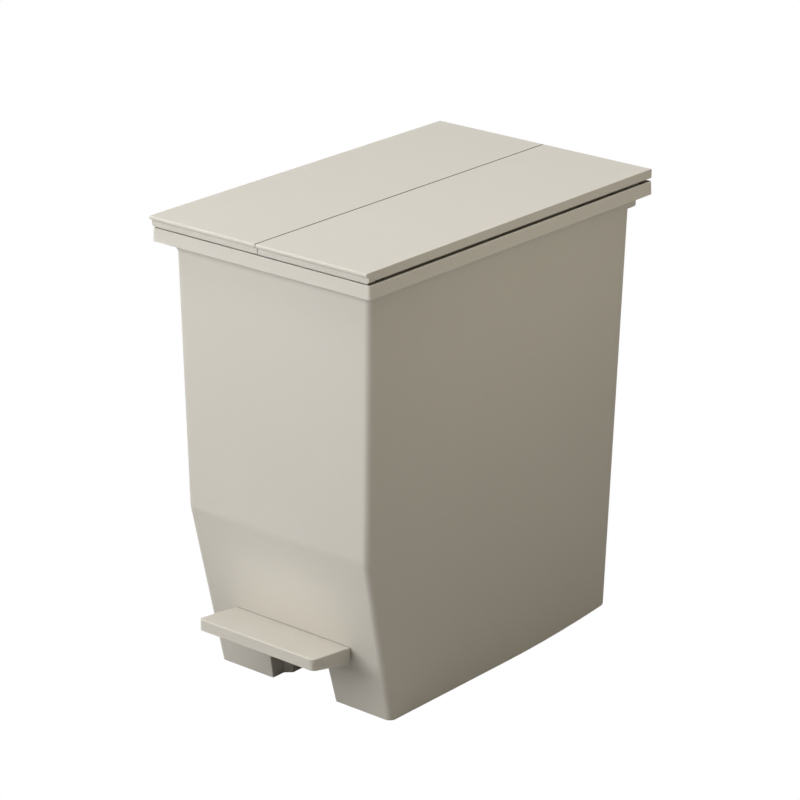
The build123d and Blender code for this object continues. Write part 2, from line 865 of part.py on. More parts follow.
# Lifting fork: beam across the rear of the bin with one finger under each cam
with BuildPart() as lift_fork:
    with BuildSketch(Plane.XZ.offset(-lift_y - fork_half_thickness)) as fork_view:
        with Locations((0, beam_bottom + beam_height / 2)):
            Rectangle(2 * pad_x + finger_width, beam_height)
        with Locations((-pad_x, (beam_bottom + pad_top) / 2), (pad_x, (beam_bottom + pad_top) / 2)):
            Rectangle(finger_width, pad_top - beam_bottom)
        fillet(fork_view.vertices().group_by(Axis.Y)[1], radius=fork_fillet)
    extrude(amount=2 * fork_half_thickness)
    add(bar_along_z(fork_hub_radius, fork_hub_bottom, beam_bottom + beam_height, 0, lift_y))
    add(bar_along_z(rod_radius, fork_hub_bottom, rod_top, 0, lift_y), mode=Mode.SUBTRACT)
lift_fork.part.label = "lift_fork"

# Pedal lever: hub on the axle, broad front arm under the foot plate, slim rear arm
with BuildPart() as pedal_lever:
    lever_front = pedal_front + 11.5
    lever_step = pedal_rear - 3.4
    with BuildSketch(Plane.YZ.offset(-lever_half_width)):
        with BuildLine():
            Polyline(
                (lever_front, pedal_line(lever_front) - pedal_wall),
                (lever_step, pedal_line(lever_step) - pedal_wall),
                (lever_step + 0.4, lever_neck_top),
                (pedal_rear + 14.0, lever_neck_top - 2.0),
                (axle_y, axle_z + lever_hub_radius),
                (axle_y, axle_z - lever_hub_radius),
                (pedal_rear + 10.0, lever_neck_bottom),
                (pedal_rear - 10.0, lever_neck_bottom + 6.0),
                (lever_front, lever_neck_bottom + 17.0),
                close=True,
            )
        make_face()
    extrude(amount=2 * lever_half_width)
    with BuildSketch(Plane.YZ.offset(-lever_arm_half_width)):
        with BuildLine():
            Polyline(
                (axle_y, axle_z + lever_hub_radius),
                (lever_nose_y, lever_nose_z + lever_nose_radius - lever_nose_step),
                (lever_nose_y, lever_nose_z - lever_nose_radius),
                (axle_y, axle_z - lever_hub_radius),
                close=True,
            )
        make_face()
        with Locations((lever_nose_y, lever_nose_z)):
            Circle(lever_nose_radius)
    extrude(amount=2 * lever_arm_half_width)
    add(bar_along_x(lever_hub_radius, -lever_hub_half_width, lever_hub_half_width, axle_y, axle_z))
    # pockets from both sides leave a middle web in the front arm
    for side in (-1, 1):
        with BuildSketch(Plane.YZ.offset(side * lever_half_width)):
            with BuildLine():
                Polyline(
                    (pedal_rear + 16.0, lever_neck_top - 5.7),
                    (axle_y - 14.0, axle_z + 5.5),
                    (axle_y - 14.0, axle_z - 4.0),
                    (pedal_rear + 16.0, lever_neck_bottom + 2.0),
                    close=True,
                )
            make_face()
        extrude(amount=-side * (lever_half_width - lever_web), mode=Mode.SUBTRACT)
    lever_bore = axle_radius + running_gap
    add(
        bar_along_x(lever_bore, -lever_hub_half_width, lever_hub_half_width, axle_y, axle_z),
        mode=Mode.SUBTRACT,
    )
pedal_lever.part.label = "pedal_lever"

# Foot plate: a shell open below, tilted up to its front edge
with BuildPart() as pedal_plate:
    with BuildSketch(Plane.YZ.offset(-pedal_half_width)):
        with BuildLine():
            Polyline(
                (pedal_front, pedal_line(pedal_front)),
                (pedal_rear, pedal_rear_top),
                (pedal_rear, pedal_rear_top - pedal_rear_height),
                (pedal_front, pedal_line(pedal_front) - pedal_height),
                close=True,
            )
        make_face()
    extrude(amount=2 * pedal_half_width)
    fillet(pedal_plate.edges().filter_by(Axis.Z).group_by(Axis.Y)[0], radius=pedal_corner)
    nose_edge = pedal_plate.edges().filter_by(Axis.X).group_by(Axis.Y)[0].sort_by(Axis.Z)[-1]
    fillet(nose_edge, radius=pedal_edge_radius)
    with BuildSketch(Plane.YZ.offset(-pedal_half_width + pedal_wall)):
        with BuildLine():
            pocket_front = pedal_front + pedal_wall
            pocket_rear = pedal_rear - pedal_wall
            Polyline(
                (pocket_front, pedal_line(pocket_front) - pedal_wall),
                (pocket_rear, pedal_line(pocket_rear) - pedal_wall),
                (pocket_rear, 0),
                (pocket_front, 0),
                close=True,
            )
        make_face()
    extrude(amount=2 * (pedal_half_width - pedal_wall), mode=Mode.SUBTRACT)
    # slot in the rear wall for the neck of the lever
    neck_half_width = lever_half_width + neck_gap
    add(
        slab(-neck_half_width, neck_half_width, pocket_rear - 1, past_all, 0, lever_neck_top + neck_gap),
        mode=Mode.SUBTRACT,
    )
pedal_plate.part.label = "pedal_plate"

# Axle and its two keepers
with BuildPart() as axle:
    add(bar_along_x(axle_radius, -boss_outer, boss_outer, axle_y, axle_z))
    chamfer(axle.edges().filter_by(GeomType.CIRCLE), length=axle_chamfer)
axle.part.label = "axle"

with BuildPart() as right_keeper:
    with BuildSketch(Plane.XY.offset(keeper_bottom)):
        with Locations((boss_x, axle_y)):
            RectangleRounded(boss_width, 2 * boss_half_length, boss_corner)
        with Locations((boss_x, axle_y - screw_offset), (boss_x, axle_y + screw_offset)):
            Circle(screw_radius, mode=Mode.SUBTRACT)
    extrude(amount=keeper_height)
    add(bar_along_x(axle_radius, 0, boss_outer, axle_y, axle_z), mode=Mode.SUBTRACT)
right_keeper.part.label = "right_keeper"

with BuildPart() as left_keeper:
    mirror(right_keeper.part, about=Plane.YZ)
left_keeper.part.label = "left_keeper"

# Screws of the keepers
screws = []
for x in (-boss_x, boss_x):
    for y in (axle_y - screw_offset, axle_y + screw_offset):
        with BuildPart() as keeper_screw:
            add(bar_along_z(screw_head_radius, keeper_bottom - screw_head_height, keeper_bottom, x, y))
            head_edge = keeper_screw.edges().filter_by(GeomType.CIRCLE).sort_by(Axis.Z)[0]
            chamfer(head_edge, length=screw_head_chamfer)
            add(bar_along_z(screw_radius, keeper_bottom, axle_z + screw_bite, x, y))
            with BuildSketch(Plane.XY.offset(keeper_bottom - screw_head_height)):
                with Locations((x, y)):
                    Rectangle(screw_slot, screw_head_radius)
                    Rectangle(screw_head_radius, screw_slot)
            extrude(amount=screw_slot_depth, mode=Mode.SUBTRACT)
        keeper_screw.part.label = f"keeper_screw_{len(screws) + 1}"
        screws.append(keeper_screw)

# Rear rollers on their pins
with BuildPart() as right_roller:
    roller_left = roller_x - roller_half_width
    roller_right = roller_x + roller_half_width
    add(bar_along_x(roller_radius, roller_left, roller_right, roller_y, roller_radius))
    chamfer(right_roller.edges().filter_by(GeomType.CIRCLE), length=roller_chamfer)
    for side in (-1, 1):
        with BuildSketch(Plane.YZ.offset(roller_x + side * roller_half_width)):
            with Locations((roller_y, roller_radius)):
                Circle(roller_radius - roller_rim)
                Circle(roller_pin_radius + roller_rim, mode=Mode.SUBTRACT)
        extrude(amount=-side * (roller_half_width - roller_web), mode=Mode.SUBTRACT)
    roller_bore = roller_pin_radius + running_gap
    add(
        bar_along_x(roller_bore, roller_left, roller_right, roller_y, roller_radius),
        mode=Mode.SUBTRACT,
    )
right_roller.part.label = "right_roller"

with BuildPart() as left_roller:
    mirror(right_roller.part, about=Plane.YZ)
left_roller.part.label = "left_roller"

with BuildPart() as right_roller_pin:
    pin_reach = cheek_inner + cheek
    add(bar_along_x(roller_pin_radius, roller_x - pin_reach, roller_x + pin_reach, roller_y, roller_radius))
    chamfer(right_roller_pin.edges().filter_by(GeomType.CIRCLE), length=0.4)
right_roller_pin.part.label = "right_roller_pin"

with BuildPart() as left_roller_pin:
    mirror(right_roller_pin.part, about=Plane.YZ)
left_roller_pin.part.label = "left_roller_pin"

# Cover of the mechanism: channel round the rod, wide box round the fork
with BuildPart() as mechanism_cover:
    inner_channel = channel_half_width - cover_wall
    add(body_form(wall + cover_gap, floor_top + cover_gap, cover_top, floor_fillet))
    add(
        slab(-past_all, past_all, -past_all, opening_rear, 0, past_all),
        mode=Mode.SUBTRACT,
    )
    add(
        slab(-past_all, -channel_half_width, 0, past_all, 0, cover_split),
        mode=Mode.SUBTRACT,
    )
    add(
        slab(channel_half_width, past_all, 0, past_all, 0, cover_split),
        mode=Mode.SUBTRACT,
    )
    add(
        slab(
            -past_all, past_all, opening_rear + cover_wall, past_all, cover_split + cover_wall, past_all
        ),
        mode=Mode.SUBTRACT,
    )
    add(
        slab(-inner_channel, inner_channel, opening_rear + cover_wall, past_all, 0, past_all),
        mode=Mode.SUBTRACT,
    )
mechanism_cover.part.label = "mechanism_cover"

# Bag ring: lip on the rail of the frame, skirt inside it, bar between the two openings
with BuildPart() as bag_ring:
    add(
        band(
            opening_half_width + rail,
            opening_front - rail,
            opening_rear + rail,
            rail_top,
            ring_top,
            opening_corner + rail,
        )
    )
    chamfer(bag_ring.faces().sort_by(Axis.Z)[-1].edges(), length=ring_chamfer)
    add(
        band(
            ring_half_width,
            opening_front + ring_gap,
            opening_rear - ring_gap,
            ring_top - ring_depth,
            ring_top - ring_lip / 2,
            opening_corner - ring_gap,
        )
    )
    for bag_front, bag_rear in (
        (opening_front + ring_gap + ring_wall, divider_y - ring_bar / 2),
        (divider_y + ring_bar / 2, opening_rear - ring_gap - ring_wall),
    ):
        add(
            band(
                ring_half_width - ring_wall,
                bag_front,
                bag_rear,
                ring_top - ring_depth,
                ring_top,
                opening_corner - ring_wall,
            ),
            mode=Mode.SUBTRACT,
        )
    # the bar is a channel open below
    add(
        slab(
            -ring_half_width + ring_wall,
            ring_half_width - ring_wall,
            divider_y - ring_bar / 2 + ring_bar_wall,
            divider_y + ring_bar / 2 - ring_bar_wall,
            0,
            ring_top - ring_bar_wall,
        ),
        mode=Mode.SUBTRACT,
    )
bag_ring.part.label = "bag_ring"

# Divider between the two compartments, with a bead along its top
with BuildPart() as divider_wall:
    add(body_form(wall + divider_gap, floor_top + divider_gap, taper_height, floor_fillet))
    add(
        slab(-past_all, past_all, divider_y - divider / 2, divider_y + divider / 2, 0, past_all),
        mode=Mode.INTERSECT,
    )
    bead_half_width = half_width_at(taper_height) - wall - 2 * guide_depth
    with BuildSketch(Plane.YZ.offset(-bead_half_width)):
        with Locations((divider_y, taper_height - divider_bead / 2)):
            RectangleRounded(divider_bead, divider_bead, divider_bead / 4)
    extrude(amount=2 * bead_half_width)
divider_wall.part.label = "divider"

# Lid bumpers
bumpers = []
for y in bumper_ys:
    for x in (-bumper_x, bumper_x):
        with BuildPart() as lid_bumper:
            add(bar_along_z(bumper_radius, bumper_post_top, bumper_top, x, y))
            top_edge = lid_bumper.edges().filter_by(GeomType.CIRCLE).sort_by(Axis.Z)[-1]
            chamfer(top_edge, length=bumper_chamfer)
            add(bar_along_z(bumper_stem_radius, bumper_post_top - bumper_stem, bumper_post_top, x, y))
        lid_bumper.part.label = f"lid_bumper_{len(bumpers) + 1}"
        bumpers.append(lid_bumper)

export_step(body_shell.part, "parts/body_shell.step")
export_step(lid_frame.part, "parts/lid_frame.step")
export_step(right_leaf.part, "parts/right_leaf.step")
export_step(left_leaf.part, "parts/left_leaf.step")
export_step(right_hinge_rod.part, "parts/right_hinge_rod.step")
export_step(left_hinge_rod.part, "parts/left_hinge_rod.step")
export_step(push_rod.part, "parts/push_rod.step")
export_step(rod_bush.part, "parts/rod_bush.step")
export_step(lift_fork.part, "parts/lift_fork.step")
export_step(pedal_lever.part, "parts/pedal_lever.step")
export_step(pedal_plate.part, "parts/pedal_plate.step")
export_step(axle.part, "parts/axle.step")
export_step(right_keeper.part, "parts/right_keeper.step")
export_step(left_keeper.part, "parts/left_keeper.step")
export_step(right_roller.part, "parts/right_roller.step")
export_step(left_roller.part, "parts/left_roller.step")
export_step(right_roller_pin.part, "parts/right_roller_pin.step")
export_step(left_roller_pin.part, "parts/left_roller_pin.step")
export_step(mechanism_cover.part, "parts/mechanism_cover.step")
export_step(bag_ring.part, "parts/bag_ring.step")
export_step(divider_wall.part, "parts/divider.step")
for piece in screws + bumpers:
    export_step(piece.part, f"parts/{piece.part.label}.step")
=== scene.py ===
"""Looks of the pedal bin: finishes, studio light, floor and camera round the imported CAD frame.

The CAD nodes carry the whole shape. This script gives each of them a procedural finish named
after its real material, sets up a soft white studio and places the camera at the photograph's
viewing angle.
"""

import json
import logging
import math
from collections.abc import Mapping
from dataclasses import dataclass, replace
from enum import Enum
from typing import Any

import bpy
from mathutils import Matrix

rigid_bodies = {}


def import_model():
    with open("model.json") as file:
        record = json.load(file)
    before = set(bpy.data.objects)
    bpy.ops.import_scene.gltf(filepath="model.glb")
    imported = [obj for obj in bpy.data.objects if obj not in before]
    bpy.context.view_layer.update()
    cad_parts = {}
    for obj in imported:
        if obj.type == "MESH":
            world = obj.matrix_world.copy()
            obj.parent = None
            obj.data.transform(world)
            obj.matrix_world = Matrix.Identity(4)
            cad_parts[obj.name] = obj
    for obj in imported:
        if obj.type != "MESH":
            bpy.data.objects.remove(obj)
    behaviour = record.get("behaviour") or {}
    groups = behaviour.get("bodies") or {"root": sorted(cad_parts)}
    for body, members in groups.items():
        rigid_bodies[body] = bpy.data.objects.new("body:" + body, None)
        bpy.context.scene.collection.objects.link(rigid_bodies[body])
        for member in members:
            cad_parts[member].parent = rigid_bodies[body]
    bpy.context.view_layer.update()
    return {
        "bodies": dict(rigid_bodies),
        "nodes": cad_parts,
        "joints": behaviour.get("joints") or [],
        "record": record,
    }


logging.basicConfig(level=logging.INFO, format="%(levelname)s %(message)s")
log = logging.getLogger("pedal_bin")

MM = 0.001
NODE_STEP = 180.0

Vec3 = tuple[float, float, float]
Colour = tuple[float, float, float, float]
Inputs = Mapping[str | int, Any]
WHITE: Colour = (1.0, 1.0, 1.0, 1.0)

# A Mix node has sockets for every kind of data. These settings and sockets are its colours'.
COLOURS = {"data_type": "RGBA"}
SHARE, FIRST, SECOND = 0, 6, 7
BLENDED = 2


def linear(code: str) -> Colour:
    """Turn an sRGB hex code into the linear colour that the shaders take.

    Args:
        code: six hex digits, with or without a leading hash.

    Returns:
        Linear red, green, blue and an alpha of one.
    """
    digits = code.lstrip("#")
    channels = [int(digits[i : i + 2], 16) / 255.0 for i in (0, 2, 4)]
    red, green, blue = (
        c / 12.92 if c <= 0.04045 else ((c + 0.055) / 1.055) ** 2.4 for c in channels
    )
    return red, green, blue, 1.0


def frequency(size_mm: float) -> float:
    """Give the scale of a pattern on metres whose features have a size in millimetres."""
    return 1.0 / (size_mm * MM)


def feed(tree: bpy.types.NodeTree, node: bpy.types.Node, inputs: Inputs) -> None:
    """Set or link some inputs of a node.

    Args:
        tree: node tree that holds the node.
        node: node whose inputs are fed.
        inputs: a constant or an output socket for each input, by the input's name or index.
    """
    for socket, value in inputs.items():
        if isinstance(value, bpy.types.NodeSocket):
            tree.links.new(value, node.inputs[socket])
        else:
            node.inputs[socket].default_value = value


def add(
    tree: bpy.types.NodeTree,
    kind: str,
    label: str,
    inputs: Inputs | None = None,
    settings: Mapping[str, Any] | None = None,
) -> bpy.types.Node:
    """Add a node with its settings and links, to the right of those that are there.

    Args:
        tree: node tree that gets the node.
        kind: Blender's class name of the node.
        label: what the node is there for, used as its name.
        inputs: a constant or an output socket for each input, by the input's name or index.
        settings: properties of the node itself, by name.

    Returns:
        The new node.
    """
    node = tree.nodes.new(kind)
    node.name = node.label = label
    node.location = (NODE_STEP * len(tree.nodes), 0.0)
    for name, value in (settings or {}).items():
        setattr(node, name, value)
    feed(tree, node, inputs or {})
    return node


def open_material(
    name: str, colour: Colour, roughness: float
) -> tuple[bpy.types.Material, bpy.types.NodeTree, bpy.types.Node]:
    """Start a material with a principled shader that already holds its plain values.

    Args:
        name: name of the material.
        colour: mean colour, linear.
        roughness: mean roughness.

    Returns:
        The material, its node tree and its shader node.
    """
    material = bpy.data.materials.new(name)
    material.use_nodes = True
    material.diffuse_color = colour
    tree = material.node_tree
    tree.nodes.clear()
    plain_values = {"Base Color": colour, "Roughness": roughness}
    shader = add(tree, "ShaderNodeBsdfPrincipled", name, plain_values)
    add(tree, "ShaderNodeOutputMaterial", "surface", {"Surface": shader.outputs[0]})
    return material, tree, shader


class Finish(Enum):
    """Real materials of the bin, by the record's slot name."""

    SHELL_PP = "greige_plastic"
    DARK_PP = "dark_plastic"
    INNER_PP = "inner_plastic"
    ACETAL = "white_acetal"
    STEEL = "steel"
    RUBBER = "soft_rubber"


@dataclass(frozen=True)
class PaintedSeamShadow:
    """Painted shadow line along the top edges of the two leaves, which meet at X = 0.

    It makes the hairline gap between them read as dark by painting its shade onto the top faces.
    It stays off the rest of their edge faces, which show when the lid opens.

    Attributes:
        half_width_mm: half width of the full line, with the gap in its middle.
        fade: how many times wider the line is where it has faded out.
        lowest_m: height that the painted shadow reaches down to, just below the lid's top.
    """

    half_width_mm: float = 0.58
    fade: float = 1.4
    lowest_m: float = 0.4198

    def unshaded_share(
        self, tree: bpy.types.NodeTree, where: bpy.types.NodeSocket
    ) -> bpy.types.NodeSocket:
        """Tell the unshaded leaf from the painted shadow along its edge.

        Args:
            tree: node tree of the leaf's material.
            where: coordinates in metres.

        Returns:
            Zero on the painted shadow line, one elsewhere.
        """
        split = add(tree, "ShaderNodeSeparateXYZ", "place on the lid", {"Vector": where})
        across = {0: split.outputs["X"]}
        aside = add(
            tree, "ShaderNodeMath", "distance from the seam", across, {"operation": "ABSOLUTE"}
        )
        full = self.half_width_mm * MM
        reach = {"Value": aside.outputs[0], "From Min": full, "From Max": self.fade * full}
        faded = add(tree, "ShaderNodeMapRange", "fade of the painted shadow", reach)
        height = {0: split.outputs["Z"], 1: self.lowest_m}
        below = add(
            tree, "ShaderNodeMath", "below the painted shadow", height, {"operation": "LESS_THAN"}
        )
        either = {0: faded.outputs[0], 1: below.outputs[0]}
        unshaded = add(tree, "ShaderNodeMath", "off the seam", either, {"operation": "MAXIMUM"})
        return unshaded.outputs[0]


@dataclass(frozen=True)
class MouldedPlastic:
    """Injection-moulded plastic with an eroded mould texture and faint flow variation.

    Attributes:
        name: name of the material.
        tone: mean colour as sRGB hex.
        shade: slightly deeper tone of the flow variation, sRGB hex.
        roughness: mean roughness.
        roughness_spread: span of the roughness over the blotches.
        specular: specular level.
        ior: refractive index of the plastic.
        flow_mm: size of the broad marks that the melt leaves.
        blotch_mm: size of the spots that handling leaves.
        grain_mm: size of the mould texture's grains. The real ones are about 0.3 mm, finer than a
            pixel of the picture, so they are drawn coarser to show at all.
        grain_depth_mm: depth of the grains.
        relief: strength of the grains.
        edge_mm: radius of the soft edge that the mould leaves.
        glow: subsurface weight of the slightly translucent plastic.
        glow_mm: how far red, green and blue light spread in the plastic.
        dust: near-black colour painted into narrow gaps as shade, sRGB hex.
        painted_shade_reach_mm: how far the look into the open goes that finds narrow gaps.
        painted_shade_range: open share up to which the shade is painted full, and from which none.
        seam_shadow_line: painted shadow line along the lid's seam, none on other pieces.
    """

    name: str
    tone: str
    shade: str
    roughness: float
    roughness_spread: float = 0.10
    specular: float = 0.35
    ior: float = 1.49
    flow_mm: float = 140.0
    blotch_mm: float = 18.0
    grain_mm: float = 1.2
    grain_depth_mm: float = 0.02
    relief: float = 0.5
    edge_mm: float = 0.35
    glow: float = 0.0
    glow_mm: Vec3 = (2.0, 1.8, 1.5)
    # Painted shade: narrow gaps that the ambient occlusion finds get this near-black colour.
    dust: str = "#2e2b27"
    painted_shade_reach_mm: float = 0.8
    painted_shade_range: tuple[float, float] = (0.50, 0.66)
    seam_shadow_line: PaintedSeamShadow | None = None

    def build(self) -> bpy.types.Material:
        """Make the material.

        Returns:
            The node-based material.
        """
        material, tree, shader = open_material(self.name, linear(self.tone), self.roughness)
        where = add(tree, "ShaderNodeTexCoord", "place on the piece").outputs["Object"]
        surface = {
            "Base Color": self._colour(tree, where),
            "Roughness": self._roughness(tree, where),
            "Specular IOR Level": self.specular,
            "IOR": self.ior,
            "Normal": self._relief(tree, where),
        }
        feed(tree, shader, surface)
        if self.glow > 0:
            depth = {
                "Subsurface Weight": self.glow,
                "Subsurface Radius": tuple(spread * MM for spread in self.glow_mm),
                "Subsurface Scale": 1.0,
            }
            feed(tree, shader, depth)
        return material

    def _colour(
        self, tree: bpy.types.NodeTree, where: bpy.types.NodeSocket
    ) -> bpy.types.NodeSocket:
        """Blend the flow marks of the melt, then painted shade in gaps and along the seam over
        them.

        Args:
            tree: node tree of the material.
            where: coordinates in metres.

        Returns:
            The colour socket.
        """
        broad = {"Vector": where, "Scale": frequency(self.flow_mm), "Detail": 2.0}
        flow = add(tree, "ShaderNodeTexNoise", "flow of the melt", broad)
        tones = {SHARE: flow.outputs[0], FIRST: linear(self.tone), SECOND: linear(self.shade)}
        colour = add(tree, "ShaderNodeMix", "flow variation", tones, COLOURS).outputs[BLENDED]

        # Painted shade: the colour darkens to near black where the ambient occlusion finds a
        # narrow gap.
        look = {"Distance": self.painted_shade_reach_mm * MM}
        sky = add(
            tree, "ShaderNodeAmbientOcclusion", "how open the place is", look, {"samples": 8}
        )
        full_shade, no_shade = self.painted_shade_range
        limits = {"Value": sky.outputs["AO"], "From Min": full_shade, "From Max": no_shade}
        unshaded = add(tree, "ShaderNodeMapRange", "unshaded unless in a gap", limits).outputs[0]
        shares = {"painted shade in gaps": unshaded}
        # Painted shadow: a dark line on the leaves' top faces right beside the seam.
        if self.seam_shadow_line is not None:
            shares["dust along the seam"] = self.seam_shadow_line.unshaded_share(tree, where)
        for label, share in shares.items():
            layers = {SHARE: share, FIRST: linear(self.dust), SECOND: colour}
            colour = add(tree, "ShaderNodeMix", label, layers, COLOURS).outputs[BLENDED]
        return colour

    def _roughness(
        self, tree: bpy.types.NodeTree, where: bpy.types.NodeSocket
    ) -> bpy.types.NodeSocket:
        """Vary the roughness over the spots that handling leaves.

        Args:
            tree: node tree of the material.
            where: coordinates in metres.

        Returns:
            The roughness socket.
        """
        spots = {"Vector": where, "Scale": frequency(self.blotch_mm), "Detail": 4.0}
        blotch = add(tree, "ShaderNodeTexNoise", "handling blotches", spots)
        lowest = self.roughness - self.roughness_spread / 2
        terms = {0: blotch.outputs[0], 1: self.roughness_spread, 2: lowest}
        spread = add(
            tree, "ShaderNodeMath", "roughness over blotches", terms, {"operation": "MULTIPLY_ADD"}
        )
        return spread.outputs[0]

    def _relief(
        self, tree: bpy.types.NodeTree, where: bpy.types.NodeSocket
    ) -> bpy.types.NodeSocket:
        """Lay the mould texture over soft edges.

        Args:
            tree: node tree of the material.
            where: coordinates in metres.

        Returns:
            The normal socket.
        """
        fine = {"Vector": where, "Scale": frequency(self.grain_mm), "Detail": 2.0}
        grain = add(tree, "ShaderNodeTexNoise", "eroded mould texture", fine)
        radius = {"Radius": self.edge_mm * MM}
        soft = add(tree, "ShaderNodeBevel", "soft mould edge", radius, {"samples": 6})
        texture = {
            "Strength": self.relief,
            "Distance": self.grain_depth_mm * MM,
            "Height": grain.outputs[0],
            "Normal": soft.outputs[0],
        }
        return add(tree, "ShaderNodeBump", "mould texture relief", texture).outputs[0]


@dataclass(frozen=True)
class PlatedSteel:
    """Drawn, zinc plated steel with a faint fine relief from the drawing.

    Attributes:
        name: name of the material.
        tone: colour of the metal as sRGB hex.
        stain: colour of the duller patches as sRGB hex.
        roughness: mean roughness.
        roughness_spread: span of the roughness over the patches.
        patch_mm: size of the zinc's patches.
        mark_mm: size of the marks that the drawing leaves.
        mark_depth_mm: depth of the marks.
        relief: strength of the marks.
    """

    name: str
    tone: str
    stain: str
    roughness: float
    roughness_spread: float = 0.16
    patch_mm: float = 5.0
    mark_mm: float = 0.2
    mark_depth_mm: float = 0.006
    relief: float = 0.3

    def build(self) -> bpy.types.Material:
        """Make the material.

        Returns:
            The node-based material.
        """
        material, tree, shader = open_material(self.name, linear(self.tone), self.roughness)
        where = add(tree, "ShaderNodeTexCoord", "place on the piece").outputs["Object"]
        broad = {"Vector": where, "Scale": frequency(self.patch_mm), "Detail": 3.0}
        patches = add(tree, "ShaderNodeTexNoise", "zinc patches", broad).outputs[0]
        fine = {"Vector": where, "Scale": frequency(self.mark_mm), "Detail": 1.0}
        marks = add(tree, "ShaderNodeTexNoise", "drawing marks", fine).outputs[0]
        tones = {SHARE: patches, FIRST: linear(self.tone), SECOND: linear(self.stain)}
        tint = add(tree, "ShaderNodeMix", "dull patches", tones, COLOURS)
        lowest = self.roughness - self.roughness_spread / 2
        terms = {0: patches, 1: self.roughness_spread, 2: lowest}
        spread = add(
            tree, "ShaderNodeMath", "roughness over patches", terms, {"operation": "MULTIPLY_ADD"}
        )
        texture = {"Strength": self.relief, "Distance": self.mark_depth_mm * MM, "Height": marks}
        bump = add(tree, "ShaderNodeBump", "relief of the marks", texture)
        surface = {
            "Base Color": tint.outputs[BLENDED],
            "Metallic": 1.0,
            "Roughness": spread.outputs[0],
            "Normal": bump.outputs[0],
        }
        feed(tree, shader, surface)
        return material


@dataclass(frozen=True)
class SoftRubber:
    """Soft thermoplastic rubber with a dusty bloom.

    Attributes:
        name: name of the material.
        tone: colour as sRGB hex.
        bloom: colour of the bloom as sRGB hex.
        roughness: roughness.
        specular: specular level.
        ior: refractive index of the rubber.
        bloom_mm: size of the bloom's patches.
        skin_depth_mm: depth of the skin's relief.
        relief: strength of the skin's relief.
    """

    name: str
    tone: str
    bloom: str
    roughness: float
    specular: float = 0.25
    ior: float = 1.52
    bloom_mm: float = 2.0
    skin_depth_mm: float = 0.02
    relief: float = 0.5

    def build(self) -> bpy.types.Material:
        """Make the material.

        Returns:
            The node-based material.
        """
        material, tree, shader = open_material(self.name, linear(self.tone), self.roughness)
        where = add(tree, "ShaderNodeTexCoord", "place on the piece").outputs["Object"]
        spots = {"Vector": where, "Scale": frequency(self.bloom_mm), "Detail": 3.0}
        dust = add(tree, "ShaderNodeTexNoise", "bloom", spots).outputs[0]
        tones = {SHARE: dust, FIRST: linear(self.tone), SECOND: linear(self.bloom)}
        tint = add(tree, "ShaderNodeMix", "bloom over rubber", tones, COLOURS)
        texture = {"Strength": self.relief, "Distance": self.skin_depth_mm * MM, "Height": dust}
        bump = add(tree, "ShaderNodeBump", "skin relief", texture)
        surface = {
            "Base Color": tint.outputs[BLENDED],
            "Specular IOR Level": self.specular,
            "IOR": self.ior,
            "Normal": bump.outputs[0],
        }
        feed(tree, shader, surface)
        return material


FINISHES: Mapping[Finish, MouldedPlastic | PlatedSteel | SoftRubber] = {
    # Matt and a little translucent: no sharp gloss, soft edges, and warmth in the shade.
    Finish.SHELL_PP: MouldedPlastic(
        "injection-moulded polypropylene, warm light grey", "#d3cfc7", "#d0ccc3", 0.52, glow=0.5
    ),
    # The same plastic dark and opaque, so what hangs under the floor sinks into its shadow.
    Finish.DARK_PP: MouldedPlastic(
        "injection-moulded polypropylene, dark grey", "#5a5854", "#545250", 0.5
    ),
    # The same plastic in a middle grey, which sets ring and divider off from the shell.
    Finish.INNER_PP: MouldedPlastic(
        "injection-moulded polypropylene, mid grey", "#aaa69e", "#a5a199", 0.5
    ),
    # Unfilled and dense: smoother than the rest, with a waxy sheen and finer grains.
    Finish.ACETAL: MouldedPlastic(
        "moulded acetal, natural white",
        "#e6e5e0",
        "#e0dfd9",
        0.32,
        specular=0.5,
        ior=1.48,
        grain_mm=0.6,
        grain_depth_mm=0.004,
        edge_mm=0.25,
        glow=0.15,
    ),
    # Bright but not polished, clouded where the zinc has dulled.
    Finish.STEEL: PlatedSteel("drawn steel, zinc plated", "#c6c7ca", "#a9abb0", 0.34),
    # Nearly black without gloss, greyed by the bloom.
    Finish.RUBBER: SoftRubber("soft thermoplastic rubber, black", "#2b2b2b", "#3a3a39", 0.72),
}


@dataclass(frozen=True)
class SubAssembly:
    """Nodes of the bin that belong together. Their shapes are the CAD's own.

    Attributes:
        nodes: names of the nodes.
    """

    nodes: tuple[str, ...]

    def own_materials(self) -> Mapping[str, bpy.types.Material]:
        """Make the materials of nodes that depart from their slot's, which none does here."""
        return {}

    def dress(
        self, frame: Mapping[str, Any], materials: Mapping[Finish, bpy.types.Material]
    ) -> None:
        """Give every node its material and report it.

        Args:
            materials: the material of each finish.
        """
        slots = {part["node"]: part["material_slot"] for part in frame["record"]["subparts"]}
        own = self.own_materials()
        for name in self.nodes:
            node = frame["nodes"][name]
            material = own.get(name, materials[Finish(slots[name])])
            for place in node.material_slots:
                place.link = "OBJECT"
                place.material = material
            if not node.material_slots:
                node.data.materials.append(material)
            log.info("%s: %s in %s", type(self).__name__, name, material.name)


@dataclass(frozen=True)
class Container(SubAssembly):
    """Body of the bin with what stands or hangs in it."""

    nodes: tuple[str, ...] = ("body_shell", "divider", "bag_ring", "mechanism_cover")


